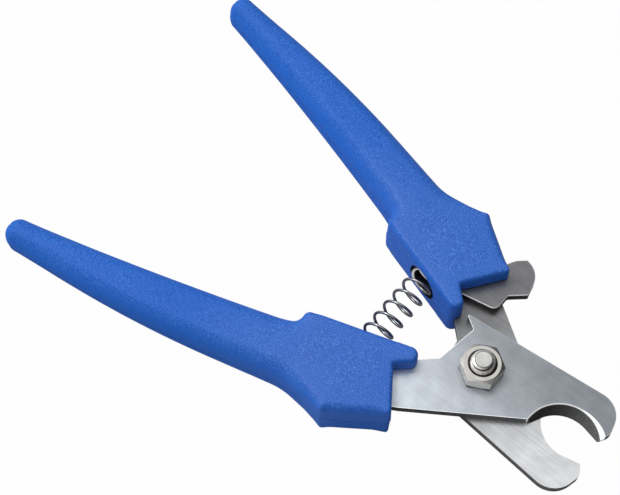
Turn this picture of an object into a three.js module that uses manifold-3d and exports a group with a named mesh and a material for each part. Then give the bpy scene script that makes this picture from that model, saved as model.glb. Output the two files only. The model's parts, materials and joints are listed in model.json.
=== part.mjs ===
// Plier-pattern pet nail trimmer: two crossed steel blades on a bolt, each held in a two-shell
// plastic grip, with a return spring between the grips and a lever that locks them shut.
// Frame, millimetres: the tool lies open on a table, nut up, with the origin at the middle of its
// footprint on the table. +X runs forward between the jaws, +Y towards the rear blade's grip.
// Both halves are drawn in one half frame, whose origin is on the pivot axis where the two blades
// rub, with the grip on -Y and the blade above the rubbing plane. The rear half is a group turned
// 180 degrees about X, so it mirrors the front half.
import * as THREE from "three";
import { ConvexGeometry } from "three/addons/geometries/ConvexGeometry.js";
import { mergeVertices, toCreasedNormals } from "three/addons/utils/BufferGeometryUtils.js";
import Module from "manifold-3d";

// Blades
const PLATE_TOP = 2.0; // outer face of a blade, measured from the rubbing plane
const RUB_GAP = 0.03; // each blade stands this far off the rubbing plane
const PIVOT_BORE_R = 2.55;
const EDGE_LAND = 0.12; // upright strip left at the cutting edge
const BEVEL_RIM = new THREE.Vector2(21.25, -2.25); // centre of the round rim of the ground bevel
const BEVEL_RIM_R = 8.1;
const CUTTER_LOW_Y = -12; // the bevel cutter's far side, well inside the jaw's recess
const CUTTER_BACK_X = 15;
const CUTTER_FRONT_X = 34; // beyond the jaw's tip
// Grips
const FLARE_HALF = 6.1; // half the thickness of the flared end of a grip
const NECK_HALF = 5.95; // half thickness just behind the flare
const TIP_HALF = 4.3; // half thickness at the far end
const FLARE_X = -32;
const NECK_X = -36;
const TIP_X = -96;
const GRIP_EDGE = 0.6; // edge chamfer
const FOOTPRINT_X = -33.9; // middle of the whole tool, measured from the pivot
const PARTING_GAP = 0.02; // each shell stands this far off the parting plane
const TANG_CLEARANCE = 0.1;
const PEGS = [new THREE.Vector2(-24, -18.8), new THREE.Vector2(-50, -26.3)];
const PEG_R = 1.4;
const PEG_HOLE_R = 1.55;
const PEG_END = 3.9;
// Pivot bolt and nut, M5
const BOLT_R = 2.5;
const BOLT_END = 7.5;
const BOLT_END_R = 1.6;
const HEAD_R = 4.25;
const HEAD_HEIGHT = 2.7;
const HEAD_CHAMFER = 0.4;
const HEAD_SLOT = [1.2, 1.2]; // width and depth
const NUT_FLATS = 8.0;
const NUT_HEIGHT = 3.5;
const NUT_BORE_R = 2.55;
const NUT_FACE_R = 3.7; // radius where the nut's corner chamfers start
const NUT_SINK = 0.45; // depth of the countersink round the bore
const NUT_TURN = -0.035; // how far the nut stands from square, radians
const SEAT_GAP = 0.03; // between a fastener and the face it bears on
// Return spring
const SPRING_X = -21.3;
const COIL_R = 2.87;
const WIRE_R = 0.31;
const SPRING_HALF = 11.95; // half the length between the end coils' centres
const PITCH = 3.2;
const END_PITCH = 0.85; // closed coil at each end
const POCKET_R = 3.75;
const POCKET_FLOOR = 12.6; // distance of a pocket's floor from the centreline
const SPRING_STEPS = 190;
const WIRE_SEGMENTS = 4; // per half turn of the wire's section
// Latch lever, in the half frame of the rear blade
const RIVET = new THREE.Vector2(-13.5, -17.5);
const RIVET_R = 1.5;
const RIVET_HOLE_R = 1.55;
const RIVET_HEAD_R = 2.5;
const RIVET_HEAD_HEIGHT = 0.8;
const RIVET_CROWN_R = 1.5; // flat middle of a rivet head
const SLOT_HALF = 2.25; // height of the slot that the lever swings in
const HEAD_POCKET_R = 2.8;
const HEAD_POCKET_END = 3.2;

const PIVOT = new THREE.Vector2(0, 0);
const ARC_STEP = 0.13; // radians between points on a rounded corner
const ARC_LENGTH = 8; // longest straight piece on a wide arc
const RIM_POINTS = 60; // round the bevel's rim
const ROUND_SIDES = 48; // sides of a bore, a post or a turned piece
const SHARP_R = 0.1; // smallest corner radius of a pocket
const FAR = 200; // beyond every surface

// Outlines are lists of corners [x, y, radius], in order round the shape.
const HEEL = [13.8, -2.2, 0.4];
const HOOK = [17.45, 4.9, 7.2];
const JAW_TIP = [
  [26.4, 2.85, 0.4],
  [27.7, 5, 2.2],
  [26, 11.5, 5],
];
const TANG = [
  [-7.9, -3.3, 1],
  [-13.2, -8.2, 1],
  [-15.8, -13.7, 2],
  [-30, -17.6, 4],
  [-60, -26.8, 2],
  [-58.6, -31.5, 2],
  [-32, -23.6, 6],
  [-24, -21.6, 6],
  [-17.5, -22.6, 2],
  [-11.4, -19.8, 1],
  [-9, -17.4, 0.8],
  [-7.8, -16.7, 0.7],
];
const LATCH_LOBE = [
  [-9.6, 8.15, 0.3],
  [-6.35, 6.1, 0.4],
];
const PLAIN_CORNER = [[-6.3, 8.45, 2]];
const GRIP = [
  [-18.7, -27.8, 1.2],
  [-7.4, -19.75, 0.8],
  [-13.6, -11.1, 0.4],
  [-10.6, -8.2, 0.9],
  [-10.7, -5.25, 1.7],
  [-34, -12.75, 1.5],
  [-34.2, -16, 2],
  [-60.3, -24.4, 900],
  [-95.4, -33.7, 2.8],
  [-94.9, -38.9, 2.7],
  [-63.5, -35.5, 250],
  [-29.6, -26.4, 18],
  [-23.7, -26.4, 6],
];
const LEVER = [
  [-15, -10.5, 1.5],
  [-5.4, -12.4, 1.6],
  [-5.4, -16.45, 0.8],
  [-2.25, -19.25, 0.35],
  [-3.55, -24.9, 4.7],
  [-7.05, -25.6, 0.4],
  [-9.1, -23.75, 5],
  [-10.2, -21.4, 1.2],
  [-17.4, -21.1, 3],
];
const LEVER_SLOT = [
  [-17.9, -10.1, 1],
  [-9.5, -9.2, 1],
  [2, -9.2, 1],
  [2, -28, 1],
  [-6.2, -28, 1],
  [-10.2, -22.2, 1],
  [-17.9, -21.6, 3],
];

const wasm = await Module();
wasm.setup();

// Manifold solid of a closed three.js geometry.
function solid(geometry) {
  const bare = geometry.clone();
  bare.deleteAttribute("normal");
  bare.deleteAttribute("uv");
  const merged = mergeVertices(bare, 1e-4);
  return new wasm.Manifold(
    new wasm.Mesh({
      numProp: 3,
      vertProperties: Float32Array.from(merged.attributes.position.array),
      triVerts: Uint32Array.from(merged.index.array),
    }),
  );
}

// Named mesh of a manifold solid.
function piece(name, body, material) {
  const made = body.getMesh();
  const geometry = new THREE.BufferGeometry();
  geometry.setAttribute("position", new THREE.BufferAttribute(made.vertProperties, 3));
  geometry.setIndex(new THREE.BufferAttribute(made.triVerts, 1));
  const mesh = new THREE.Mesh(toCreasedNormals(geometry, Math.PI / 6), material);
  mesh.name = name;
  return mesh;
}

// Where corner i of an outline is, and the directions of its sides to the corners before and after.
function cornerSides(corners, i) {
  const corner = new THREE.Vector2(...corners[i]);
  const back = new THREE.Vector2(...corners.at(i - 1)).sub(corner).normalize();
  const on = new THREE.Vector2(...corners[(i + 1) % corners.length]).sub(corner).normalize();
  return { corner, back, on };
}

// Shape through corners [x, y, radius], each rounded by an arc tangent to its two sides.
function roundedShape(corners) {
  const points = corners.flatMap(([, , radius], i) => {
    const { corner, back, on } = cornerSides(corners, i);
    const half = Math.acos(back.dot(on)) / 2;
    const centre = back.clone().add(on).setLength(radius / Math.sin(half)).add(corner);
    const start = corner.clone().addScaledVector(back, radius / Math.tan(half)).sub(centre);
    const turn = Math.PI - 2 * half;
    const pieces = Math.ceil(Math.max(turn / ARC_STEP, (turn * radius) / ARC_LENGTH));
    const way = back.cross(on) < 0 ? 1 : -1;
    return Array.from({ length: pieces + 1 }, (_, k) =>
      start.clone().rotateAround(PIVOT, (way * turn * k) / pieces).add(centre),
    );
  });
  return new THREE.Shape(points);
}

// The same corners moved outwards by a distance, for a pocket round a piece.
function grown(corners, distance) {
  return corners.map(([, , radius], i) => {
    const { corner, back, on } = cornerSides(corners, i);
    const outwards = distance / on.cross(back);
    corner.addScaledVector(back, -outwards).addScaledVector(on, -outwards);
    const convex = on.cross(back) > 0;
    return [corner.x, corner.y, convex ? radius + distance : Math.max(radius - distance, SHARP_R)];
  });
}

function plate(corners, low, high) {
  const options = { depth: high - low, bevelEnabled: false };
  return solid(new THREE.ExtrudeGeometry(roundedShape(corners), options).translate(0, 0, low));
}

// Round post along Z.
function post(centre, radius, low, high) {
  const geometry = new THREE.CylinderGeometry(radius, radius, high - low, ROUND_SIDES);
  geometry.rotateX(Math.PI / 2).translate(centre.x, centre.y, (low + high) / 2);
  return solid(geometry);
}

// Solid turned about a Z axis, from profile points [radius, z] that start and end on the axis.
function turned(profile, centre) {
  const points = profile.map(([radius, z]) => new THREE.Vector2(radius, z));
  const geometry = new THREE.LatheGeometry(points, ROUND_SIDES);
  geometry.rotateX(Math.PI / 2).translate(centre.x, centre.y, 0);
  return solid(geometry);
}

function block(low, high) {
  const size = high.map((value, i) => value - low[i]);
  const middle = high.map((value, i) => (value + low[i]) / 2);
  return solid(new THREE.BoxGeometry(...size).translate(...middle));
}

// Cutter that grinds the bevel: its wall leans out from the cutting edge to the bevel's round rim.
function bevelCutter() {
  const [tip] = JAW_TIP;
  const slope = (tip[1] - HOOK[1]) / (tip[0] - HOOK[0]);
  const edge = roundedShape([
    HEEL,
    HOOK,
    [CUTTER_FRONT_X, tip[1] + slope * (CUTTER_FRONT_X - tip[0]), 1],
    [CUTTER_FRONT_X, CUTTER_LOW_Y, 1],
    [CUTTER_BACK_X, CUTTER_LOW_Y, 1],
  ]);
  const rim = new THREE.Shape().absarc(BEVEL_RIM.x, BEVEL_RIM.y, BEVEL_RIM_R, 0, 2 * Math.PI);
  const ring = (shape, z) => shape.getPoints(RIM_POINTS).map(({ x, y }) => new THREE.Vector3(x, y, z));
  const low = RUB_GAP + EDGE_LAND;
  return solid(new ConvexGeometry([...ring(edge, low), ...ring(rim, PLATE_TOP), ...ring(rim, FAR)]));
}

// Blade with its tang; the corners behind the jaw differ between the two blades.
function blade(behind, extraHoles) {
  const body = plate([HEEL, HOOK, ...JAW_TIP, ...behind, ...TANG], RUB_GAP, PLATE_TOP);
  const holes = [post(PIVOT, PIVOT_BORE_R, -FAR, FAR), ...extraHoles];
  PEGS.forEach((at) => holes.push(post(at, PEG_HOLE_R, -FAR, FAR)));
  return holes.reduce((rest, hole) => rest.subtract(hole), body.subtract(bevelCutter()));
}

// Whole grip before it is parted: rounded outline, thinning towards the far end.
function gripBody() {
  const depth = 2 * (FLARE_HALF - GRIP_EDGE);
  const options = {
    depth,
    bevelThickness: GRIP_EDGE,
    bevelSize: GRIP_EDGE,
    bevelOffset: -GRIP_EDGE,
    bevelSegments: 1,
  };
  const outline = new THREE.ExtrudeGeometry(roundedShape(GRIP), options).translate(0, 0, -depth / 2);
  const top = [
    [TIP_X, TIP_HALF],
    [NECK_X, NECK_HALF],
    [FLARE_X, FLARE_HALF],
    [0, FLARE_HALF],
  ];
  const bottom = top.map(([x, z]) => [x, -z]).reverse();
  const side = new THREE.Shape([...top, ...bottom].map(([x, z]) => new THREE.Vector2(x, z)));
  const profile = new THREE.ExtrudeGeometry(side, { depth: FAR, bevelEnabled: false });
  return solid(outline).intersect(solid(profile.rotateX(Math.PI / 2)));
}

// Blind bore that takes one end of the return spring.
function springPocket() {
  const geometry = new THREE.CylinderGeometry(POCKET_R, POCKET_R, POCKET_FLOOR, ROUND_SIDES);
  return solid(geometry.translate(SPRING_X, -POCKET_FLOOR / 2, 0));
}

// Shell on the blade's side of the parting plane: it holds the tang.
function tangShell() {
  let shell = gripBody().intersect(block([-FAR, -FAR, PARTING_GAP], [FAR, FAR, FAR]));
  shell = shell.subtract(plate(grown(TANG, TANG_CLEARANCE), -1, PLATE_TOP + TANG_CLEARANCE));
  PEGS.forEach((at) => {
    shell = shell.subtract(post(at, PEG_HOLE_R, -1, PEG_END + 4 * TANG_CLEARANCE));
  });
  return shell.subtract(springPocket());
}

// Shell on the other side: its pegs pass through the tang into the first shell.
function pegShell() {
  let shell = gripBody().intersect(block([-FAR, -FAR, -FAR], [FAR, FAR, -PARTING_GAP]));
  shell = shell.subtract(springPocket());
  PEGS.forEach((at) => {
    shell = shell.add(post(at, PEG_R, -1, PEG_END));
  });
  return shell;
}

function headPocket(low, high) {
  return post(RIVET, HEAD_POCKET_R, low, high);
}

// Slotted cheese-head bolt, head below the rear blade, chamfered end above the nut.
function pivotBolt() {
  const seat = -PLATE_TOP - SEAT_GAP;
  const low = seat - HEAD_HEIGHT;
  const bolt = turned(
    [
      [0, low],
      [HEAD_R - HEAD_CHAMFER, low],
      [HEAD_R, low + HEAD_CHAMFER],
      [HEAD_R, seat],
      [BOLT_R, seat],
      [BOLT_R, BOLT_END - (BOLT_R - BOLT_END_R)],
      [BOLT_END_R, BOLT_END],
      [0, BOLT_END],
    ],
    PIVOT,
  );
  const [width, deep] = HEAD_SLOT;
  return bolt.subtract(block([-FAR, -width / 2, -FAR], [FAR, width / 2, low + deep]));
}

// Hexagon nut with both faces chamfered and its bore countersunk.
function pivotNut() {
  const low = PLATE_TOP + SEAT_GAP;
  const high = low + NUT_HEIGHT;
  const cornerR = NUT_FLATS / Math.sqrt(3);
  const drop = (cornerR - NUT_FACE_R) * Math.tan(Math.PI / 6);
  const hexagon = new THREE.CylinderGeometry(cornerR, cornerR, NUT_HEIGHT, 6);
  hexagon.rotateX(Math.PI / 2).rotateZ(NUT_TURN).translate(0, 0, (low + high) / 2);
  const rim = turned(
    [[0, low], [NUT_FACE_R, low], [cornerR, low + drop], [cornerR, high - drop], [NUT_FACE_R, high], [0, high]],
    PIVOT,
  );
  const countersink = turned(
    [
      [0, high - NUT_SINK],
      [NUT_BORE_R, high - NUT_SINK],
      [NUT_BORE_R + 2 * NUT_SINK, high + NUT_SINK],
      [0, high + NUT_SINK],
    ],
    PIVOT,
  );
  const bore = post(PIVOT, NUT_BORE_R, -FAR, FAR);
  return solid(hexagon).intersect(rim).subtract(countersink).subtract(bore);
}

// Rivet through the rear blade's tang and the lever, headed at both ends.
function latchRivet() {
  const seat = PLATE_TOP + SEAT_GAP;
  const end = seat + RIVET_HEAD_HEIGHT;
  const half = [
    [RIVET_CROWN_R, end],
    [RIVET_HEAD_R, seat + RIVET_HEAD_HEIGHT / 3],
    [RIVET_HEAD_R, seat],
    [RIVET_R, seat],
  ];
  const lower = half.map(([radius, z]) => [radius, -z]);
  return turned([[0, -end], ...lower, ...half.reverse(), [0, end]], RIVET);
}

// Flat lever with a thumb tab; the recess in its edge closes behind the front blade's lobe.
function latchLever() {
  return plate(LEVER, -PLATE_TOP + RUB_GAP, -RUB_GAP).subtract(post(RIVET, RIVET_HOLE_R, -FAR, FAR));
}

// Right-handed coil along Y with a closed turn at each end.
class SpringPath extends THREE.Curve {
  getPoint(t, target = new THREE.Vector3()) {
    const open = 2 * (SPRING_HALF - END_PITCH);
    const turns = 2 + open / PITCH;
    const turn = t * turns;
    const inner = THREE.MathUtils.clamp(turn - 1, 0, turns - 2);
    const along = (turn - inner) * END_PITCH + inner * PITCH - SPRING_HALF;
    const angle = 2 * Math.PI * turn;
    return target.set(SPRING_X + COIL_R * Math.cos(angle), -along, COIL_R * Math.sin(angle));
  }
}

function returnSpring() {
  const wire = new THREE.Shape().absarc(0, 0, WIRE_R, 0, 2 * Math.PI);
  const path = new SpringPath();
  const options = { steps: SPRING_STEPS, curveSegments: WIRE_SEGMENTS, extrudePath: path };
  return solid(new THREE.ExtrudeGeometry(wire, { ...options, bevelEnabled: false }));
}

function material(color, roughness, metalness) {
  return new THREE.MeshStandardMaterial({ color, roughness, metalness });
}

const bladeSteel = material(0xb4b8bc, 0.32, 1);
const latchSteel = material(0x84878a, 0.38, 1);
const nickel = material(0xc9c4bb, 0.24, 1);
const springSteel = material(0x8f9092, 0.28, 1);
const bluePlastic = material(0x2f66c9, 0.48, 0);

const frontHalf = new THREE.Group();
frontHalf.add(
  piece("front_blade", blade(LATCH_LOBE, []), bladeSteel),
  piece("front_grip_upper_shell", tangShell(), bluePlastic),
  piece("front_grip_lower_shell", pegShell(), bluePlastic),
);

const rivetHole = post(RIVET, RIVET_HOLE_R, -FAR, FAR);
const leverSlot = plate(LEVER_SLOT, -SLOT_HALF, 1);
const rearHalf = new THREE.Group();
rearHalf.rotation.x = Math.PI;
rearHalf.add(
  piece("rear_blade", blade(PLAIN_CORNER, [rivetHole]), bladeSteel),
  piece("rear_grip_lower_shell", tangShell().subtract(headPocket(0, HEAD_POCKET_END)), bluePlastic),
  piece(
    "rear_grip_upper_shell",
    pegShell().subtract(leverSlot).subtract(headPocket(-HEAD_POCKET_END, 0)),
    bluePlastic,
  ),
  piece("latch_lever", latchLever(), latchSteel),
  piece("latch_rivet", latchRivet(), nickel),
);

const trimmer = new THREE.Group();
trimmer.position.set(-FOOTPRINT_X, 0, FLARE_HALF);
trimmer.add(
  frontHalf,
  rearHalf,
  piece("pivot_bolt", pivotBolt(), nickel),
  piece("pivot_nut", pivotNut(), nickel),
  piece("return_spring", returnSpring(), springSteel),
);

export default trimmer;
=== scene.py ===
"""Looks of a pet nail trimmer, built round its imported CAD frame.

Outlines and sizes are millimetres in a half frame: its origin is on the pivot axis where the two
blades rub, x runs forward, the grip lies on -y and the blade above z = 0. The front half stands
as it is drawn; the rear half is the same, turned half a turn about x.
"""
import json
import math

import bmesh
import bpy
import numpy as np
from mathutils import Matrix, Quaternion, Vector
from mathutils.geometry import delaunay_2d_cdt


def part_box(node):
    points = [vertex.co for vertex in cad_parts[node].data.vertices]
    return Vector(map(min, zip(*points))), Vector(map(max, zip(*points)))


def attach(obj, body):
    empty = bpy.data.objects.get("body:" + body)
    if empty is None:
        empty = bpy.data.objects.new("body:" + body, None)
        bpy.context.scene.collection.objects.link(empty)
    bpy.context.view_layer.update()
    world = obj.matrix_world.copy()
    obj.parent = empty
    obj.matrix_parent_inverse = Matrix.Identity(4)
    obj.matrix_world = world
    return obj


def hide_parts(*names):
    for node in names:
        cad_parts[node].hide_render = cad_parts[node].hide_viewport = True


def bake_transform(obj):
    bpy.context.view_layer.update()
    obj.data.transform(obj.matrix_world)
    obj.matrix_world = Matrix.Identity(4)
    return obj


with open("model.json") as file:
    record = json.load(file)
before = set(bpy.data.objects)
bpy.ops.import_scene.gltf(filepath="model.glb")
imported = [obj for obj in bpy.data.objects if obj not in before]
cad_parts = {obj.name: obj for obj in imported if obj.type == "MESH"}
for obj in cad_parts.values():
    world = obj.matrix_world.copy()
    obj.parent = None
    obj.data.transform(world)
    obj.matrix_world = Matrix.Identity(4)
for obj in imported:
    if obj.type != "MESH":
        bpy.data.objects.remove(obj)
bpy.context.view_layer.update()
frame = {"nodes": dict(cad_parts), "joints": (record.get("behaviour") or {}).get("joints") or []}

joints = {joint["name"]: joint for joint in frame["joints"]}

MM = 0.001
PIVOT = Vector(joints["main_pivot"]["pos_m"])
FRONT = Matrix.Translation(PIVOT) @ Matrix.Scale(MM, 4)
REAR = Matrix.Translation(PIVOT) @ Matrix.Rotation(math.pi, 4, "X") @ Matrix.Scale(MM, 4)


def in_half_frame(place, point):
    """A point of the frame, in metres, as half-frame millimetres."""
    return place.inverted() @ Vector(point)


# Grips: sizes that the CAD model sets
FLARE_HALF = in_half_frame(FRONT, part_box("front_grip_upper_shell")[1]).z
BLADE_TOP = in_half_frame(FRONT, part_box("front_blade")[1]).z
RIVET = in_half_frame(REAR, joints["latch_pivot"]["pos_m"]).to_2d()
PARTING_GAP = 0.02
TANG_CLEARANCE = 0.1

# Grips: thickness, from the wide flare over the neck behind it to the tip
NECK_DROP = 0.15  # how much lower the face is behind the neck
TIP_HALF = 4.3  # half the thickness at the tip
FLARE_X = -31.5
NECK_X = -36.5
TIP_X = -96
DRAFT = 0.025  # lean of the walls
CROWN = 0.16  # how far the faces bulge
CROWN_REACH = 3  # distance from the edge over which they do

# Grips: widths of the rounded edges
BODY_EDGE = 3.4
SIDE_EDGE = 1.0
END_EDGE = 1.7
FINGER_EDGE = 0.8
EDGE_RISE = 1.25  # height of a rounded edge over its width
EDGE_CHANGE = 0.45  # the most that the width changes over a distance along the outline
EDGE_ROOM = 0.94  # share of the room inside the outline that it may take
OUTER_FLARE = (-31, -20)  # x between which the body's edge turns into the flare's, outside
INNER_FLARE = (-38.5, -30.5)  # and inside
FINGER_START = (-16, -19)
EDGE_STEPS = 8
WALL_STEPS = 4

# Grips: parting line, pegs and pockets
PARTING_CHAMFER = 0.3
PARTING_LIP = 0.12  # the tang's shell stands this far proud of the other
LEAST_WALL = 0.1
PEGS = [(-24, -18.8), (-50, -26.3)]
PEG_R = 1.4
PEG_HOLE_R = 1.55
PEG_END = 3.9
PEG_HOLE_END = 4.3
HEAD_POCKET_R = 2.8
HEAD_POCKET_END = 3.2
SLOT_HALF = 2.25

# Outlines: corners (x, y, radius) in order round each shape
GRIP = [
    (-18.7, -27.8, 1.2),
    (-7.4, -19.75, 0.8),
    (-13.6, -11.1, 0.4),
    (-10.6, -8.2, 0.9),
    (-10.7, -5.25, 1.7),
    (-34, -12.75, 1.5),
    (-34.2, -15.7, 2),
    (-60.3, -24.1, 900),
    (-95.2, -33.55, 2.8),
    (-95.1, -39.1, 2.8),
    (-63.5, -35.9, 250),
    (-29.6, -26.9, 18),
    (-23.4, -27.1, 6),
]
TANG = [
    (-4, 2, 1),
    (-7.9, -3.3, 1),
    (-13.2, -8.2, 1),
    (-15.8, -13.7, 2),
    (-30, -17.6, 4),
    (-60, -26.8, 2),
    (-58.6, -31.5, 2),
    (-32, -23.6, 6),
    (-24, -21.6, 6),
    (-17.5, -22.6, 2),
    (-11.4, -19.8, 1),
    (-9, -17.4, 0.8),
    (-7.8, -16.7, 0.7),
]
LEVER_SLOT = [
    (-17.9, -10.1, 1),
    (-9.5, -9.2, 1),
    (2, -9.2, 1),
    (2, -28, 1),
    (-6.2, -28, 1),
    (-10.2, -22.2, 1),
    (-17.9, -21.6, 3),
]

# Front blade's ground bevel: centre and radius of its round rim
BEVEL_RIM = (21.25, -2.25)
BEVEL_RIM_R = 8.1

# Pivot bolt and nut, M5
BOLT_R = 2.5
BOLT_END = 7.5
BOLT_END_R = 1.6
ROD_START = -0.5  # where the threaded rod starts, inside the head's shank
HEAD_R = 4.25
HEAD_HEIGHT = 2.7
HEAD_CHAMFER = 0.4
HEAD_SLOT = (1.2, 1.2)  # width and depth
THREAD_PITCH = 0.8
THREAD_DEPTH = 0.46
THREAD_RUN_OUT = 0.5
THREAD_ROWS = 14  # rows of points over a pitch
NUT_FLATS = 8.0
NUT_HEIGHT = 3.5
NUT_FACE_R = 3.7
NUT_CHAMFER = math.radians(30)
NUT_SINK = 0.45  # depth of the countersink round the bore
NUT_BORE_GAP = 0.04
NUT_TURN = -0.035
SEAT_GAP = 0.03

# Return spring
SPRING_X = -21.3
COIL_R = 2.87
WIRE_R = 0.31
SPRING_HALF = 11.95
PITCH = 3.2
END_PITCH = 0.85
COIL_STEPS = 40  # stations round a turn
WIRE_SIDES = 16
CUT_END_R = 0.7 * WIRE_R
CUT_END_LENGTH = 0.25 * WIRE_R
POCKET_R = 3.75
POCKET_FLOOR = 12.6
POCKET_MARGIN = 0.03

# Camera: where it looks from, and the point it looks at, measured from the pivot
CAMERA_AZIMUTH = math.radians(38.89)
CAMERA_ELEVATION = math.radians(63.5)
CAMERA_DISTANCE = 332.2
CAMERA_ROLL = math.radians(0.378)
CAMERA_AIM = (-44.1, 0.3, 0)
CAMERA_LENS = 92.9
CAMERA_SENSOR = 36
CAMERA_CLIP = 10

# Stage
FLOOR_HALF = 3000
FLOOR_DROP = 0.05
KEY_LIGHT_SIZE = 500

# Cutting and merging
FAR = 60  # beyond everything that a tool cuts
NEAR_AXIS = 0.01
OVERRUN = 1  # how far a grip's tools and pegs run past the parting plane
LEAST_RADIUS = 0.1
SAME_POINT = 1e-5  # points as close as this become one
WELD_DISTANCE = 0.001  # the same, for the CAD's nodes

# Patterns: cycles in a metre along and across, and turns
BRUSHED = (90, 4200, 300)
SCRATCHED = (160, 5200, 160)
SCRATCH_TURN = 2.3
FACE_LEVEL = (0.93, 0.985)  # how level a face is where it leaves its edge
# the grips' painted sparkle fades between the same distances
DULLING = (35, 60)  # distances from the pivot between which the grips lose their gloss
# painted light: the spring's ends glow from these distances on
LIT_END = (8, 8.6)  # distances from the spring's middle between which its lit ends begin

# Colours, linear
WHITE = (1, 1, 1, 1)
BLUE_DARK = (0.010, 0.10, 0.52, 1)
BLUE_LIGHT = (0.05, 0.215, 0.76, 1)
BLUE_CLOUD = (0.012, 0.11, 0.56, 1)
# painted sparkle on the grips' grain
BLUE_SPARKLE = (0.26, 0.45, 0.95, 1)
# painted light: the grips' walls get this more saturated blue, standing in for light from the floor
BLUE_LIT_WALL = (0.02, 0.19, 0.85, 1)
# painted shade in the grips' creases and hollows
BLUE_CREVICE_SHADE = (0.004, 0.012, 0.06, 1)
# painted shade in the spring's pockets
POCKET_SHADE = (0.003, 0.005, 0.02, 1)
# painted highlight on the rim of the front blade's bevel
RIM_HIGHLIGHT = (0.9, 0.92, 0.95, 1)
# painted shade in grooves and the thread's roots, tinted brown as old grease
GREASE_AND_SHADE = (0.1, 0.075, 0.06, 1)
STUDIO_DARK = (0.05, 0.05, 0.055, 1)
STUDIO_LIGHT = (0.8, 0.81, 0.82, 1)
PAPER = (0.42, 0.42, 0.43, 1)


# ---------------------------------------------------------------- meshes

def smoothstep(low, high, value):
    share = np.clip((value - low) / (high - low), 0, 1)
    return share * share * (3 - 2 * share)


def rounded(corners, spacing=0.7, turn_step=math.radians(9)):
    """Points round an outline whose corners are arcs, anticlockwise and close together."""
    arcs = []
    for i, (x, y, radius) in enumerate(corners):
        corner = Vector((x, y))
        back = (Vector(corners[i - 1][:2]) - corner).normalized()
        on = (Vector(corners[(i + 1) % len(corners)][:2]) - corner).normalized()
        half = back.angle(on) / 2
        centre = corner + (back + on).normalized() * radius / math.sin(half)
        start = corner + back * radius / math.tan(half) - centre
        turn = math.pi - 2 * half
        count = math.ceil(max(turn / turn_step, turn * radius / spacing))
        way = 1 if back.cross(on) < 0 else -1
        angles = [way * turn * k / count for k in range(count + 1)]
        arcs.append([centre + Matrix.Rotation(angle, 2) @ start for angle in angles])
    points = []
    for arc, following in zip(arcs, arcs[1:] + arcs[:1]):
        gap = following[0] - arc[-1]
        count = max(1, math.ceil(gap.length / spacing))
        points += arc
        points += [arc[-1] + gap * k / count for k in range(1, count)]
    points = np.array(points)
    following = np.roll(points, -1, axis=0)
    area = (points[:, 0] * following[:, 1] - points[:, 1] * following[:, 0]).sum()
    return points if area > 0 else points[::-1]


def grown(corners, distance):
    """The same corners moved outwards, for a pocket round a piece."""
    moved = []
    for i, (x, y, radius) in enumerate(corners):
        corner = Vector((x, y))
        back = (Vector(corners[i - 1][:2]) - corner).normalized()
        on = (Vector(corners[(i + 1) % len(corners)][:2]) - corner).normalized()
        turning = on.cross(back)
        corner -= (back + on) * distance / turning
        radius = max(radius + math.copysign(distance, turning), LEAST_RADIUS)
        moved.append((corner.x, corner.y, radius))
    return moved


def mesh_from(name, points, faces):
    mesh = bpy.data.meshes.new(name)
    mesh.from_pydata([tuple(p) for p in points], [], faces)
    shape = bmesh.new()
    shape.from_mesh(mesh)
    bmesh.ops.remove_doubles(shape, verts=shape.verts, dist=SAME_POINT)
    bmesh.ops.recalc_face_normals(shape, faces=shape.faces)
    shape.to_mesh(mesh)
    shape.free()
    return mesh


def ring_faces(rings, count, closed_ends=True):
    """Quads between rings of count points each, with a face across the first and last ring."""
    faces = []
    for ring in range(rings - 1):
        for i in range(count):
            following = (i + 1) % count
            low = ring * count
            faces.append((low + i, low + following, low + count + following, low + count + i))
    if closed_ends:
        faces.append(tuple(range(count))[::-1])
        faces.append(tuple(range((rings - 1) * count, rings * count)))
    return faces


def prism(outline, low, high):
    points = [(x, y, z) for z in (low, high) for x, y in outline]
    return mesh_from("prism", points, ring_faces(2, len(outline)))


def block(low, high):
    corners = [(low[0], low[1]), (high[0], low[1]), (high[0], high[1]), (low[0], high[1])]
    return prism(corners, low[2], high[2])


def turned(profile, centre=(0, 0), sides=72, thread=None):
    """Solid turned about a z axis from (radius, z) points; thread gives its depth at each z."""
    angles = [2 * math.pi * i / sides for i in range(sides)]
    points = []
    for radius, z in profile:
        for angle in angles:
            cut = thread(z) * groove(z / THREAD_PITCH - angle / (2 * math.pi)) if thread else 0
            reach = radius - cut
            points.append((
                centre[0] + reach * math.cos(angle),
                centre[1] + reach * math.sin(angle),
                z,
            ))
    return mesh_from("turned", points, ring_faces(len(profile), sides))


def groove(phase):
    """Depth of a 60 degree thread at a phase of its pitch, 0 on the crest and 1 at the root."""
    crest = 1 / 8
    flank = 5 / 8
    from_crest = 2 * abs((phase + 0.5) % 1 - 0.5)
    return min(max((from_crest - crest) / flank, 0), 1)


def boolean(body, tool, operation="DIFFERENCE"):
    """Mesh of body cut by, joined to or shared with tool."""
    target = bpy.data.objects.new("target", body)
    cutter = bpy.data.objects.new("cutter", tool)
    for each in (target, cutter):
        bpy.context.scene.collection.objects.link(each)
    modifier = target.modifiers.new("boolean", "BOOLEAN")
    modifier.operation = operation
    modifier.solver = "EXACT"
    modifier.object = cutter
    depsgraph = bpy.context.evaluated_depsgraph_get()
    result = bpy.data.meshes.new_from_object(target.evaluated_get(depsgraph))
    for each in (target, cutter):
        bpy.data.objects.remove(each)
    return result


def piece(name, mesh, place, body, material, replaced=(), sharp=32):
    """Object of a finished mesh, set in the frame, riding on a body.

    Edges that turn by more than sharp degrees stay sharp.
    """
    mesh.transform(place)
    mesh.update()
    mesh.shade_smooth()
    mesh.set_sharp_from_angle(angle=math.radians(sharp))
    mesh.materials.clear()
    mesh.materials.append(material)
    obj = bpy.data.objects.new(name, mesh)
    mesh.name = name
    bpy.context.scene.collection.objects.link(obj)
    if body:
        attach(obj, body)
    if replaced:
        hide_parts(*replaced)
    return obj


# ---------------------------------------------------------------- grips

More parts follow.
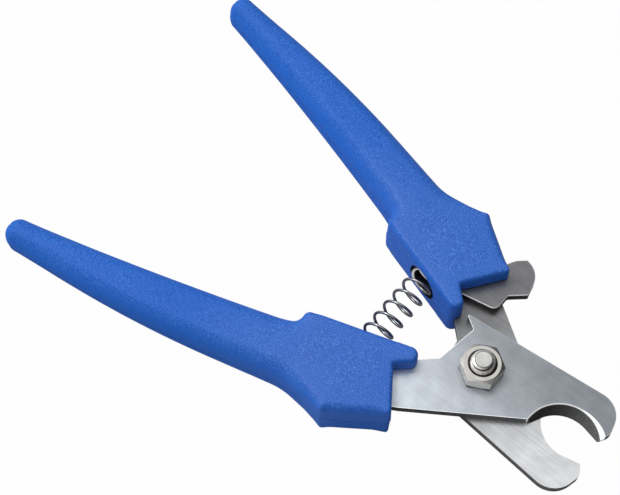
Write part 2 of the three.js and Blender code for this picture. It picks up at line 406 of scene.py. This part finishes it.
def half_height(x):
    """Half the grip's thickness at x, below the crown of its face."""
    neck = FLARE_HALF - NECK_DROP
    body = neck + (TIP_HALF - neck) * np.clip((x - NECK_X) / (TIP_X - NECK_X), 0, 1)
    return body + NECK_DROP * smoothstep(NECK_X, FLARE_X, x) - CROWN


def room_inwards(points, normals):
    """Radius of the largest circle inside the outline that touches it at each point."""
    least = 1e-6
    gap = points[None] - points[:, None]
    ahead = -(gap * normals[:, None]).sum(2)
    touching = (gap ** 2).sum(2) / np.maximum(2 * ahead, least)
    return np.where(ahead > least, touching, np.inf).min(1)


def edge_radius(points, normals):
    """Width of the grip's rounded top edge at each point, changing gently round the outline."""
    x, y = points.T
    outer = normals[:, 1] < 0
    flare_edge = np.where(outer, END_EDGE, SIDE_EDGE)
    flared = np.where(outer, smoothstep(*OUTER_FLARE, x), smoothstep(*INNER_FLARE, x))
    wanted = BODY_EDGE + (flare_edge - BODY_EDGE) * flared
    wanted[(x > FINGER_START[0]) & (y > FINGER_START[1])] = FINGER_EDGE
    drawn_in = DRAFT * half_height(x)
    allowed = np.minimum(wanted, EDGE_ROOM * room_inwards(points, normals) - drawn_in)
    steps = np.linalg.norm(np.roll(points, -1, axis=0) - points, axis=1)
    along = np.concatenate([[0], np.cumsum(steps)[:-1]])
    apart = np.abs(along[:, None] - along[None])
    apart = np.minimum(apart, steps.sum() - apart)
    return (allowed[None] + EDGE_CHANGE * apart).min(1)


def cap(ring, spacing=1.1, row_spacing=0.87, clear=0.6):
    """Points inside a ring, how far each is from it, and the triangles that fill it.

    The rows lie row_spacing apart and the points stay clear of the ring, both times the spacing.
    """
    low, high = ring.min(0), ring.max(0)
    columns = np.arange(low[0], high[0], spacing)
    rows = np.arange(low[1], high[1], spacing * row_spacing)
    grid = np.array([(x + spacing / 2 * (j % 2), y) for j, y in enumerate(rows) for x in columns])
    nearest = np.linalg.norm(grid[:, None] - ring[None], axis=2).min(1)
    inside = nearest > clear * spacing
    grid = grid[inside]
    flat = [Vector(p) for p in ring] + [Vector(p) for p in grid]
    made = delaunay_2d_cdt(flat, [], [list(range(len(ring)))], 1, SAME_POINT)
    faces = [[made[3][v][0] for v in face] for face in made[2]]
    return grid, nearest[inside], faces


def shell(side):
    """One shell of a grip: side 1 is above the parting plane, -1 below."""
    points = rounded(grown(GRIP, PARTING_LIP) if side > 0 else GRIP)
    tangent = np.roll(points, -1, axis=0) - np.roll(points, 1, axis=0)
    tangent /= np.linalg.norm(tangent, axis=1)[:, None]
    normals = np.stack([tangent[:, 1], -tangent[:, 0]], axis=1)
    radius = edge_radius(points, normals)
    half = half_height(points[:, 0])
    wall_low = PARTING_GAP + PARTING_CHAMFER
    rise = np.minimum(EDGE_RISE * radius, half - wall_low - LEAST_WALL)
    rings = [(np.full(len(points), PARTING_CHAMFER), np.full(len(points), PARTING_GAP))]
    for k in range(WALL_STEPS):
        z = wall_low + (half - rise - wall_low) * k / WALL_STEPS
        rings.append((DRAFT * (z - wall_low), z))
    for k in range(EDGE_STEPS + 1):
        angle = math.pi / 2 * k / EDGE_STEPS
        inset = DRAFT * (half - rise - wall_low) + radius * (1 - math.cos(angle))
        rings.append((inset, half - rise + rise * math.sin(angle)))
    solid = []
    for inset, z in rings:
        moved = points - normals * inset[:, None]
        solid += [(x, y, side * height) for (x, y), height in zip(moved, z)]
    count = len(points)
    faces = ring_faces(len(rings), count, closed_ends=False)
    faces.append(tuple(range(count)))
    top = np.array(solid[-count:])[:, :2]
    grid, nearest, fill = cap(top)
    base = len(solid) - count
    faces += [tuple(base + v for v in face) for face in fill]
    crown = CROWN * (1 - np.exp(-(nearest / CROWN_REACH) ** 2))
    heights = half_height(grid[:, 0]) + crown
    solid += [(x, y, side * height) for (x, y), height in zip(grid, heights)]
    return mesh_from("shell", solid, faces)


def spring_pocket():
    """Bore from the centreline into a grip, for one end of the spring."""
    bore = turned([(POCKET_R, 0), (POCKET_R, POCKET_FLOOR)])
    bore.transform(Matrix.Translation((SPRING_X, 0, 0)) @ Matrix.Rotation(math.pi / 2, 4, "X"))
    return bore


def post(centre, radius, low, high):
    return turned([(radius, low), (radius, high)], centre, sides=48)


def tang_shell():
    """Shell on the blade's side of the parting plane: it holds the tang."""
    outline = rounded(grown(TANG, TANG_CLEARANCE))
    body = boolean(shell(1), prism(outline, -OVERRUN, BLADE_TOP + TANG_CLEARANCE))
    for peg in PEGS:
        body = boolean(body, post(peg, PEG_HOLE_R, -OVERRUN, PEG_HOLE_END))
    return boolean(body, spring_pocket())


def peg_shell():
    """Shell on the other side: its pegs pass through the tang into the first shell."""
    body = boolean(shell(-1), spring_pocket())
    for peg in PEGS:
        body = boolean(body, post(peg, PEG_R, -OVERRUN, PEG_END), "UNION")
    return body


def build_grips(material):
    pocket = (RIVET, HEAD_POCKET_R)
    rear_tang = boolean(tang_shell(), post(*pocket, -OVERRUN, HEAD_POCKET_END))
    rear_peg = boolean(peg_shell(), prism(rounded(LEVER_SLOT), -SLOT_HALF, OVERRUN))
    rear_peg = boolean(rear_peg, post(*pocket, -HEAD_POCKET_END, OVERRUN))
    shells = [
        ("front_grip_upper", tang_shell(), FRONT, "front_half", "front_grip_upper_shell"),
        ("front_grip_lower", peg_shell(), FRONT, "front_half", "front_grip_lower_shell"),
        ("rear_grip_lower", rear_tang, REAR, "rear_half", "rear_grip_lower_shell"),
        ("rear_grip_upper", rear_peg, REAR, "rear_half", "rear_grip_upper_shell"),
    ]
    for name, mesh, place, body, node in shells:
        piece(name, mesh, place, body, material, [node])


# ---------------------------------------------------------------- pivot and spring

def thread_depth(z):
    """Full depth where the nut sits, running out at the bolt's end and below the nut."""
    run_in = smoothstep(BLADE_TOP, BLADE_TOP + THREAD_RUN_OUT, z)
    run_out = smoothstep(BOLT_END - THREAD_RUN_OUT / 10, BOLT_END - THREAD_RUN_OUT, z)
    return float(THREAD_DEPTH * run_in * run_out)


def thread_rows(low, high):
    count = math.ceil((high - low) / (THREAD_PITCH / THREAD_ROWS))
    return [low + (high - low) * k / count for k in range(count + 1)]


def build_bolt(material):
    """Slotted head under the rear blade, and a threaded rod that ends in a chamfer."""
    seat = -BLADE_TOP - SEAT_GAP
    low = seat - HEAD_HEIGHT
    sides = 96
    profile = [
        (NEAR_AXIS, low),
        (HEAD_R - HEAD_CHAMFER, low),
        (HEAD_R, low + HEAD_CHAMFER),
        (HEAD_R, seat),
        (BOLT_R, seat),
        (BOLT_R, 0),
        (NEAR_AXIS, 0),
    ]
    width, deep = HEAD_SLOT
    cut = block((-FAR, -width / 2, -FAR), (FAR, width / 2, low + deep))
    head = boolean(turned(profile, sides=sides), cut)
    rod = [(min(BOLT_R, BOLT_END_R + BOLT_END - z), z) for z in thread_rows(ROD_START, BOLT_END)]
    rod = turned(rod, sides=sides, thread=thread_depth)
    bolt = boolean(head, rod, "UNION")
    piece(
        "pivot_bolt_threaded", bolt, FRONT, "rear_half", material,
        replaced=["pivot_bolt"], sharp=25,
    )


def build_nut(material):
    """Hexagon with both faces chamfered and the bore countersunk."""
    sides = 120
    low = BLADE_TOP + SEAT_GAP
    high = low + NUT_HEIGHT
    corner = NUT_FLATS / math.sqrt(3)
    drop = (corner - NUT_FACE_R) * math.tan(NUT_CHAMFER)
    angles = [NUT_TURN + math.pi / 6 + math.pi / 3 * i for i in range(6)]
    hexagon = [(corner * math.cos(angle), corner * math.sin(angle)) for angle in angles]
    rim = [(NUT_FACE_R, low), (corner, low + drop), (corner, high - drop), (NUT_FACE_R, high)]
    nut = boolean(prism(hexagon, low, high), turned(rim, sides=sides), "INTERSECT")
    bore_r = BOLT_R + NUT_BORE_GAP
    sink = [(bore_r, high - NUT_SINK), (bore_r + 2 * NUT_SINK, high + NUT_SINK)]
    nut = boolean(nut, turned(sink, sides=sides))
    nut = boolean(nut, post((0, 0), bore_r, -FAR, FAR))
    piece(
        "pivot_nut_hexagon", nut, FRONT, "rear_half", material,
        replaced=["pivot_nut"], sharp=15,
    )


def spring_centre(turn, turns):
    """Middle of the wire at a turn of the coil, whose first and last turn lie closer."""
    inner = min(max(turn - 1, 0), turns - 2)
    along = (turn - inner) * END_PITCH + inner * PITCH - SPRING_HALF
    angle = 2 * math.pi * turn
    return Vector((SPRING_X + COIL_R * math.cos(angle), -along, COIL_R * math.sin(angle)))


def build_spring(material):
    """Round wire swept along a coil, its cut ends slightly rounded."""
    turns = 2 + 2 * (SPRING_HALF - END_PITCH) / PITCH
    steps = math.ceil(turns * COIL_STEPS)
    stations = [(k / steps * turns, WIRE_R) for k in range(steps + 1)]
    end_turn = CUT_END_LENGTH / (2 * math.pi * COIL_R)
    stations = [(-end_turn, CUT_END_R)] + stations + [(turns + end_turn, CUT_END_R)]
    small = 0.01
    points = []
    for turn, radius in stations:
        centre = spring_centre(turn, turns)
        ahead = spring_centre(turn + small, turns) - spring_centre(turn - small, turns)
        outward = Vector((centre.x - SPRING_X, 0, centre.z)).normalized()
        across = ahead.normalized().cross(outward).normalized()
        for i in range(WIRE_SIDES):
            angle = 2 * math.pi * i / WIRE_SIDES
            points.append(centre + radius * (math.cos(angle) * outward + math.sin(angle) * across))
    mesh = mesh_from("spring", points, ring_faces(len(stations), WIRE_SIDES))
    coil = piece(
        "return_spring_coil", mesh, FRONT, None, material,
        replaced=["return_spring"], sharp=50,
    )
    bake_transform(coil)


# ---------------------------------------------------------------- materials

def new_material(name):
    material = bpy.data.materials.new(name)
    material.use_nodes = True
    material.node_tree.nodes.clear()
    return material


def add(tree, kind, inputs=None, **settings):
    """Shader node of a kind, its inputs given as values or as other nodes' outputs."""
    made = tree.nodes.new("ShaderNode" + kind)
    for key, value in settings.items():
        setattr(made, key, value)
    for socket, value in (inputs or {}).items():
        if isinstance(value, bpy.types.NodeSocket):
            tree.links.new(value, made.inputs[socket])
        else:
            made.inputs[socket].default_value = value
    return made


def finish_material(tree, shader):
    output = add(tree, "OutputMaterial")
    tree.links.new(shader, output.inputs["Surface"])


def arithmetic(tree, operation, first, second=0.0):
    return add(tree, "Math", {0: first, 1: second}, operation=operation).outputs[0]


def product(tree, first, second):
    return arithmetic(tree, "MULTIPLY", first, second)


def subtracted(tree, first, second):
    return add(tree, "VectorMath", {0: first, 1: second}, operation="SUBTRACT").outputs[0]


def dot(tree, first, second):
    return add(tree, "VectorMath", {0: first, 1: second}, operation="DOT_PRODUCT").outputs["Value"]


def length(tree, vector):
    return add(tree, "VectorMath", {0: vector}, operation="LENGTH").outputs["Value"]


def parts(tree, vector):
    return add(tree, "SeparateXYZ", {0: vector}).outputs


def position(tree):
    """Where a point of a piece stands at rest, in the frame's metres."""
    return add(tree, "TexCoord").outputs["Object"]


def mapped(tree, scale, turn):
    """Positions turned about z and scaled, for noise with a direction."""
    inputs = {"Vector": position(tree), "Rotation": (0, 0, turn), "Scale": scale}
    return add(tree, "Mapping", inputs).outputs[0]


def noise(tree, vector, scale=1, detail=2, roughness=0.5):
    inputs = {"Vector": vector, "Scale": scale, "Detail": detail, "Roughness": roughness}
    return add(tree, "TexNoise", inputs).outputs["Fac"]


def between(tree, value, low, high, out_low=0.0, out_high=1.0):
    """A value that runs from out_low to out_high while the given one runs from low to high."""
    inputs = {0: value, 1: low, 2: high, 3: out_low, 4: out_high}
    return add(tree, "MapRange", inputs).outputs[0]


def eased(tree, value, low, high):
    """Share from 0 to 1 that leaves low and reaches high gently."""
    inputs = {0: value, 1: low, 2: high}
    return add(tree, "MapRange", inputs, interpolation_type="SMOOTHSTEP").outputs[0]


def stretched(tree, pattern, out_low=0.0, out_high=1.0, half=0.2):
    """Noise, most of which lies within half of 0.5, stretched to run from out_low to out_high."""
    return between(tree, pattern, 0.5 - half, 0.5 + half, out_low, out_high)


def mix(tree, share, first, second, blend_type="MIX"):
    inputs = {0: share, 6: first, 7: second}
    return add(tree, "Mix", inputs, data_type="RGBA", blend_type=blend_type).outputs[2]


def multiplied(tree, first, second):
    return mix(tree, 1, first, second, "MULTIPLY")


def grey(tree, value):
    return add(tree, "CombineColor", {0: value, 1: value, 2: value}).outputs[0]


def crevice(tree, reach, low, high, own=False):
    """How closed-in a point is within reach, millimetres: 0 in the open and 1 in a groove. The
    materials paint shade where it is high.

    own leaves other pieces out.
    """
    occlusion = add(tree, "AmbientOcclusion", {"Distance": reach * MM}, samples=8, only_local=own)
    return between(tree, occlusion.outputs["AO"], low, high, 1.0, 0.0)


def along(tree, direction, low, high):
    """Share from 0 to 1 between two distances from the pivot along a direction, millimetres."""
    start = PIVOT.dot(direction)
    reached = dot(tree, position(tree), direction)
    return eased(tree, reached, start + low * MM, start + high * MM)


def seen_directly(tree):
    """1 in what the camera sees itself, and 0 in what other surfaces mirror or are lit by."""
    return add(tree, "LightPath").outputs["Is Camera Ray"]


def facing(tree):
    return add(tree, "NewGeometry").outputs["Normal"]


def upright(tree):
    """How level a surface is, from 0 on a wall to 1 on a flat face."""
    return arithmetic(tree, "ABSOLUTE", parts(tree, facing(tree))[2])


def in_spring_pocket(tree):
    """1 inside the bores that take the spring's ends, where no light reaches, and 0 outside."""
    local = subtracted(tree, position(tree), FRONT @ Vector((SPRING_X, 0, 0)))
    across = add(tree, "VectorMath", {0: local, 1: (1, 0, 1)}, operation="MULTIPLY").outputs[0]
    depth = arithmetic(tree, "ABSOLUTE", parts(tree, local)[1])
    in_bore = arithmetic(tree, "LESS_THAN", length(tree, across), (POCKET_R + POCKET_MARGIN) * MM)
    above_floor = arithmetic(tree, "LESS_THAN", depth, (POCKET_FLOOR + POCKET_MARGIN) * MM)
    return product(tree, in_bore, above_floor)


def grip_plastic():
    """Satin moulded blue with a fine spark-eroded grain, and a painted sparkle on the grain that
    glitters most near the pivot.
    """
    material = new_material("grip_plastic")
    tree = material.node_tree
    from_pivot = length(tree, subtracted(tree, position(tree), PIVOT))
    glossy, dull = DULLING[0] * MM, DULLING[1] * MM
    grain = noise(tree, position(tree), scale=3400, roughness=0.6)
    coarse = noise(tree, position(tree), scale=1500)
    cloud = noise(tree, position(tree), scale=60)
    tone = mix(tree, stretched(tree, grain, half=0.15), BLUE_DARK, BLUE_LIGHT)
    tone = mix(tree, stretched(tree, cloud, 0.0, 0.25), tone, BLUE_CLOUD)
    # painted sparkle: light dots of the grain, strongest near the pivot where the faces catch the
    # light
    glitter = between(tree, from_pivot, glossy, dull, 0.65, 0.12)
    painted_sparkle = product(tree, between(tree, grain, 0.62, 0.72), glitter)
    tone = mix(tree, painted_sparkle, tone, BLUE_SPARKLE)
    # painted light on the walls, which get their own blue
    tone = mix(tree, between(tree, upright(tree), 0.1, 0.8), BLUE_LIT_WALL, tone)
    # painted shade: the shell is darkened in its own creases and hollows
    tone = mix(tree, crevice(tree, reach=4, low=0.4, high=0.7, own=True), tone, BLUE_CREVICE_SHADE)
    # painted shade: the spring's pockets are painted near black
    tone = mix(tree, in_spring_pocket(tree), tone, POCKET_SHADE)
    height = arithmetic(tree, "ADD", grain, product(tree, coarse, 0.4))
    soft_edge = add(tree, "Bevel", {"Radius": 0.3 * MM}, samples=6)
    bump = add(tree, "Bump", {
        "Strength": 0.9,
        "Distance": 0.08 * MM,
        "Height": height,
        "Normal": soft_edge.outputs[0],
    })
    shader = add(tree, "BsdfPrincipled", {
        "Base Color": tone,
        "Roughness": stretched(tree, grain, 0.4, 0.56),
        "Specular IOR Level": between(tree, from_pivot, glossy, dull, 0.42, 0.15),
        "Normal": bump.outputs[0],
    })
    finish_material(tree, shader.outputs[0])
    return material


def ground_bevel(tree, colour):
    """The front blade's hollow-ground bevel: radial grind lines under painted shade, darkest at the
    heel, inside a round rim with a painted highlight.

    Gives the colour and how much of a point is rim.
    """
    local = subtracted(tree, position(tree), FRONT @ Vector((*BEVEL_RIM, 0)))
    x, y, z = parts(tree, local)
    reach = length(tree, add(tree, "CombineXYZ", {0: x, 1: y}).outputs[0])
    angle = arithmetic(tree, "ARCTAN2", y, x)
    fan = add(tree, "CombineXYZ", {0: angle, 1: product(tree, reach, 40)}).outputs[0]
    # painted shade on the bevel: darkest at the heel, lighter towards the tip
    towards_tip = between(tree, x, -7 * MM, 7 * MM, 0.03, 0.16)
    shade = product(tree, towards_tip, stretched(tree, noise(tree, fan, scale=28), 0.75, 1.25))
    inside = arithmetic(tree, "LESS_THAN", reach, (BEVEL_RIM_R + 0.1) * MM)
    sloping = arithmetic(tree, "LESS_THAN", upright(tree), 0.995)
    colour = mix(tree, product(tree, inside, sloping), colour, grey(tree, shade))
    from_rim = arithmetic(tree, "SUBTRACT", BEVEL_RIM_R * MM, reach)
    inner = between(tree, x, -2 * MM, 3 * MM, 0.2 * MM, 0.4 * MM)
    outer = between(tree, x, -1 * MM, 5 * MM, 0.08 * MM, 0.6 * MM)
    past_outer = between(tree, arithmetic(tree, "ADD", from_rim, outer), 0, 0.12 * MM)
    before_inner = between(tree, arithmetic(tree, "SUBTRACT", inner, from_rim), 0, 0.15 * MM)
    band = arithmetic(tree, "MINIMUM", past_outer, before_inner)
    band = product(tree, band, arithmetic(tree, "GREATER_THAN", z, 0.3 * MM))
    # painted highlight on the band along the rim, which brushed_steel also makes glow
    return mix(tree, band, colour, RIM_HIGHLIGHT), band


def steel_tone(tree, tone, lines, streak):
    """The steel's own tone, varied by its brushed lines and by faint clouds and patches."""
    dark = tuple((1 - streak) * c for c in tone) + (1,)
    light = tuple(min((1 + streak / 2) * c, 1) for c in tone) + (1,)
    streaks = mix(tree, stretched(tree, lines), dark, light)
    cloud = noise(tree, position(tree), scale=55)
    colour = mix(tree, between(tree, cloud, 0.35, 0.7, 0, 0.5), streaks, tone + (1,))
    patches = stretched(tree, noise(tree, position(tree), scale=260, detail=3), 0.88, 1.08)
    return multiplied(tree, colour, grey(tree, patches))


def lit_rim(tree, level, edge):
    """How much of a flat face's edge a point is, most where the edge faces the light: where the
    painted rim highlight goes.
    """
    rounded_normal = add(tree, "Bevel", {"Radius": edge * MM}, samples=8).outputs[0]
    true_normal = add(tree, "NewGeometry").outputs["True Normal"]
    tilt = dot(tree, rounded_normal, true_normal)
    facing_light = dot(tree, rounded_normal, view_direction(left=1, away=-0.3))
    flat = arithmetic(tree, "GREATER_THAN", level, 0.98)
    on_rim = product(tree, between(tree, tilt, 0.99, 0.9), flat)
    return product(tree, on_rim, between(tree, facing_light, -0.1, 0.2, 0.15, 1))


def brushed_steel(
    name, tone, turn, streak, line_depth, grain_depth, roughness, edge, rim, wall, glint=0,
    sheen=None, ground=False,
):
    """Flat sheet steel: brushed lines at a turn over a fine grain, with painted highlights on its
    rims and painted shade on its walls.

    streak is how much the lines vary the tone, edge how wide a rim is in millimetres, rim and wall
    how light the painted rim highlight and the painted wall shade are, and glint how strongly the
    rims glow as a painted glint. sheen holds the direction in which a painted sheen lightens the
    steel, where that starts and ends, and how dark the start is.
    """
    material = new_material(name)
    tree = material.node_tree
    lines = noise(tree, mapped(tree, BRUSHED, turn), detail=3, roughness=0.6)
    grain = noise(tree, position(tree), scale=2600, detail=3, roughness=0.65)
    level = upright(tree)
    rim_tone = (rim, rim, rim, 1)
    colour = steel_tone(tree, tone, lines, streak)
    # painted sheen: the steel is darker towards one end and lighter towards the other, standing in
    # for the room's reflection
    if sheen:
        direction, low, high, darkest = sheen
        lightness = between(tree, along(tree, direction, low, high), 0, 1, darkest, 1)
        colour = multiplied(tree, colour, grey(tree, lightness))
    # painted shade on the walls, and a painted highlight on the broken edges between walls and faces
    edges = mix(tree, between(tree, level, 0.1, 0.35), (wall, wall, wall, 1), rim_tone)
    colour = mix(tree, between(tree, level, *FACE_LEVEL), edges, colour)
    scratches = noise(tree, mapped(tree, SCRATCHED, SCRATCH_TURN))
    colour = mix(tree, between(tree, scratches, 0.68, 0.78, 0, 0.2), colour, rim_tone)
    # painted highlight on the rims that face the light
    on_rim = lit_rim(tree, level, edge)
    colour = mix(tree, on_rim, colour, rim_tone)
    if ground:
        colour, band = ground_bevel(tree, colour)
        on_rim = arithmetic(tree, "MAXIMUM", on_rim, band)
    line_height = product(tree, lines, line_depth)
    height = arithmetic(tree, "ADD", line_height, product(tree, grain, grain_depth))
    bump = add(tree, "Bump", {"Strength": 0.6, "Distance": 0.02 * MM, "Height": height})
    shader = add(tree, "BsdfPrincipled", {
        "Base Color": colour,
        "Metallic": between(tree, level, *FACE_LEVEL, 0.25, 1),
        # painted glint: the rims glow with emitted light
        "Emission Color": WHITE,
        "Emission Strength": product(tree, on_rim, glint),
        "Roughness": stretched(tree, lines, roughness - 0.06, roughness + 0.06),
        "Normal": bump.outputs[0],
    })
    finish_material(tree, shader.outputs[0])
    return material


def thread_roots(tree):
    """1 at the root of the bolt's thread and 0 on its crests and on its end."""
    x, y, z = parts(tree, subtracted(tree, position(tree), PIVOT))
    turn = arithmetic(tree, "DIVIDE", arithmetic(tree, "ARCTAN2", y, x), 2 * math.pi)
    phase = arithmetic(tree, "SUBTRACT", arithmetic(tree, "DIVIDE", z, THREAD_PITCH * MM), turn)
    share = arithmetic(tree, "FRACT", arithmetic(tree, "ADD", phase, 0.5))
    from_crest = arithmetic(tree, "ABSOLUTE", arithmetic(tree, "SUBTRACT", share, 0.5))
    root = between(tree, from_crest, 0.2, 0.34)
    below_end = between(tree, z, (BOLT_END - 0.4) * MM, (BOLT_END - 0.2) * MM, 1, 0)
    return product(tree, root, below_end)


def plated(name, tone, roughness, mottle, wall_metal=0.4, threaded=False, end_light=0.0):
    """Bright plated or drawn metal, slightly uneven, with painted shade in its grooves, tinted brown
    as old grease.

    mottle is how dark its clouds are. Its walls are painted darker away from the camera and lighter
    towards it, where they also glow faintly as painted light, and count as metal by wall_metal.
    end_light is how strongly the spring's ends glow in their pockets, as painted light.
    """
    material = new_material(name)
    tree = material.node_tree
    cloud = noise(tree, position(tree), scale=420, detail=3)
    fine = noise(tree, position(tree), scale=3000)
    level = between(tree, upright(tree), 0.3, 0.8)
    towards = dot(tree, facing(tree), view_direction(away=-1))
    colour = mix(tree, stretched(tree, cloud), tuple(mottle * c for c in tone) + (1,), tone + (1,))
    # painted shade and light: walls darker away from the camera, lighter towards it
    wall_shade = between(tree, towards, 0.5, 0.95, 0.55, 1.2)
    colour = multiplied(tree, colour, mix(tree, level, grey(tree, wall_shade), WHITE))
    closed_in = crevice(tree, reach=0.9, low=0.35, high=0.72)
    if threaded:
        closed_in = arithmetic(tree, "MAXIMUM", closed_in, thread_roots(tree))
    # painted shade in grooves, hollows and the thread's roots, tinted brown as old grease
    colour = mix(tree, product(tree, closed_in, 0.95), colour, GREASE_AND_SHADE)
    # painted light: walls that face the camera glow faintly, standing in for light from the floor
    floor_light = between(tree, towards, 0.6, 0.95, 0, 0.14 * (1 - wall_metal))
    glow = product(tree, floor_light, arithmetic(tree, "SUBTRACT", 1, level))
    # painted light: the spring's ends glow in their dark pockets
    if end_light:
        from_middle = arithmetic(tree, "ABSOLUTE", parts(tree, position(tree))[1])
        at_end = between(tree, from_middle, LIT_END[0] * MM, LIT_END[1] * MM, 0, end_light)
        glow = product(tree, at_end, between(tree, towards, 0.3, 0.9))
    bump = add(tree, "Bump", {"Strength": 0.25, "Distance": 0.02 * MM, "Height": fine})
    rough = stretched(tree, cloud, roughness, roughness + 0.1)
    rough = arithmetic(tree, "ADD", rough, between(tree, level, 0, 1, 0.22, 0))
    least_unseen = between(tree, seen_directly(tree), 0, 1, 0.7, 0)
    shader = add(tree, "BsdfPrincipled", {
        "Base Color": colour,
        "Metallic": between(tree, level, 0, 1, wall_metal, 1),
        "Emission Color": WHITE,
        "Emission Strength": glow,
        "Roughness": arithmetic(tree, "MAXIMUM", rough, least_unseen),
        "Normal": bump.outputs[0],
    })
    finish_material(tree, shader.outputs[0])
    return material


def dress_node(name, material, edge):
    """A CAD node keeps its shape but gets edges broken by edge millimetres, and a material."""
    obj = frame["nodes"][name]
    obj.data.materials.clear()
    obj.data.materials.append(material)
    weld = obj.modifiers.new("weld", "WELD")
    weld.merge_threshold = WELD_DISTANCE * MM
    merge = obj.modifiers.new("flat_faces", "DECIMATE")
    merge.decimate_type = "DISSOLVE"
    merge.angle_limit = math.radians(0.5)
    bevel = obj.modifiers.new("broken_edges", "BEVEL")
    bevel.width = edge * MM
    bevel.segments = 2
    bevel.limit_method = "ANGLE"
    bevel.angle_limit = math.radians(35)
    bevel.harden_normals = True


# ---------------------------------------------------------------- stage

def view_direction(left=0.0, away=0.0, up=0.0):
    """A direction given as the camera sees the table: to its left, away from it and upwards."""
    return Matrix.Rotation(CAMERA_AZIMUTH, 3, "Z") @ Vector((-left, away, up))


def build_world():
    """A room that is bright above the camera's left and white to the camera itself."""
    world = bpy.data.worlds.new("studio")
    bpy.context.scene.world = world
    world.use_nodes = True
    tree = world.node_tree
    tree.nodes.clear()
    where = add(tree, "TexCoord").outputs["Generated"]
    towards = dot(tree, where, view_direction(left=0.5, away=0.25, up=0.83))
    soft = mix(tree, eased(tree, towards, -0.1, 0.95), STUDIO_DARK, STUDIO_LIGHT)
    colour = mix(tree, seen_directly(tree), soft, WHITE)
    background = add(tree, "Background", {"Color": colour, "Strength": 1.0})
    output = add(tree, "OutputWorld")
    tree.links.new(background.outputs[0], output.inputs[0])


def floor_material(shadow_share=0.015):
    """Grey to the object, nearly white to the camera and clear from below."""
    material = new_material("pale_floor")
    tree = material.node_tree
    paper = add(tree, "BsdfDiffuse", {"Color": PAPER})
    white = add(tree, "Emission", {"Color": WHITE, "Strength": 1.0})
    lit = product(tree, seen_directly(tree), 1 - shadow_share)
    top = add(tree, "MixShader", {0: lit, 1: paper.outputs[0], 2: white.outputs[0]})
    below = add(tree, "NewGeometry").outputs["Backfacing"]
    clear = add(tree, "BsdfTransparent")
    both = add(tree, "MixShader", {0: below, 1: top.outputs[0], 2: clear.outputs[0]})
    finish_material(tree, both.outputs[0])
    return material


def build_floor():
    half, z = FLOOR_HALF * MM, -FLOOR_DROP * MM
    corners = [(-half, -half, z), (half, -half, z), (half, half, z), (-half, half, z)]
    mesh = bpy.data.meshes.new("floor")
    mesh.from_pydata(corners, [], [(0, 1, 2, 3)])
    mesh.materials.append(floor_material())
    floor = bpy.data.objects.new("floor", mesh)
    bpy.context.scene.collection.objects.link(floor)


def build_light(name, location, size, watts):
    """Round lamp that faces the frame's origin."""
    light = bpy.data.lights.new(name, "AREA")
    light.shape = "DISK"
    light.size = size
    light.energy = watts
    obj = bpy.data.objects.new(name, light)
    obj.location = location
    obj.rotation_euler = (-Vector(location)).to_track_quat("-Z", "Y").to_euler()
    bpy.context.scene.collection.objects.link(obj)


def build_camera():
    camera = bpy.data.cameras.new("camera")
    camera.lens = CAMERA_LENS
    camera.sensor_width = CAMERA_SENSOR
    camera.clip_start = CAMERA_CLIP * MM
    obj = bpy.data.objects.new("camera", camera)
    level = math.cos(CAMERA_ELEVATION)
    back = Vector((
        math.sin(CAMERA_AZIMUTH) * level,
        -math.cos(CAMERA_AZIMUTH) * level,
        math.sin(CAMERA_ELEVATION),
    ))
    obj.location = FRONT @ (Vector(CAMERA_AIM) + back * CAMERA_DISTANCE)
    aimed = (-back).to_track_quat("-Z", "Y") @ Quaternion((0, 0, 1), CAMERA_ROLL)
    obj.rotation_euler = aimed.to_euler()
    bpy.context.scene.collection.objects.link(obj)
    bpy.context.scene.camera = obj


nickel = plated("nickel_plate", (0.82, 0.79, 0.74), roughness=0.18, mottle=0.85)
bolt_plate = plated(
    "bolt_plate", (0.95, 0.93, 0.9), roughness=0.22, mottle=0.7, wall_metal=0.9, threaded=True
)
spring_wire = plated(
    "spring_wire", (0.42, 0.42, 0.43), roughness=0.18, mottle=0.8, wall_metal=1, end_light=0.45
)
front_steel = brushed_steel(
    "front_blade_steel", (0.68, 0.725, 0.78), turn=0.6, streak=0.07, line_depth=0.2, grain_depth=1.0,
    roughness=0.34, edge=0.3, rim=0.98, wall=0.05, glint=0.4,
    sheen=(view_direction(left=1, away=-0.7).normalized(), -14, 18, 0.5), ground=True,
)
rear_steel = brushed_steel(
    "rear_blade_steel", (0.9, 0.9, 0.91), turn=0.9, streak=0.16, line_depth=0.8, grain_depth=0.4,
    roughness=0.32, edge=0.2, rim=0.6, wall=0.1,
    sheen=(view_direction(left=-0.5, away=-0.9).normalized(), -16, 27, 0.25),
)
latch_steel = brushed_steel(
    "latch_steel", (0.23, 0.23, 0.24), turn=0.3, streak=0.15, line_depth=0.3, grain_depth=0.6,
    roughness=0.4, edge=0.5, rim=0.95, wall=0.02, glint=0.45,
)

build_grips(grip_plastic())
dress_node("front_blade", front_steel, edge=0.28)
dress_node("rear_blade", rear_steel, edge=0.2)
dress_node("latch_lever", latch_steel, edge=0.45)
dress_node("latch_rivet", nickel, edge=0.1)
build_bolt(bolt_plate)
build_nut(nickel)
build_spring(spring_wire)

build_world()
build_floor()
build_light("key", view_direction(left=0.4, away=0.3, up=0.8), KEY_LIGHT_SIZE * MM, watts=3.5)
build_camera()
bpy.context.scene.view_settings.view_transform = "Standard"
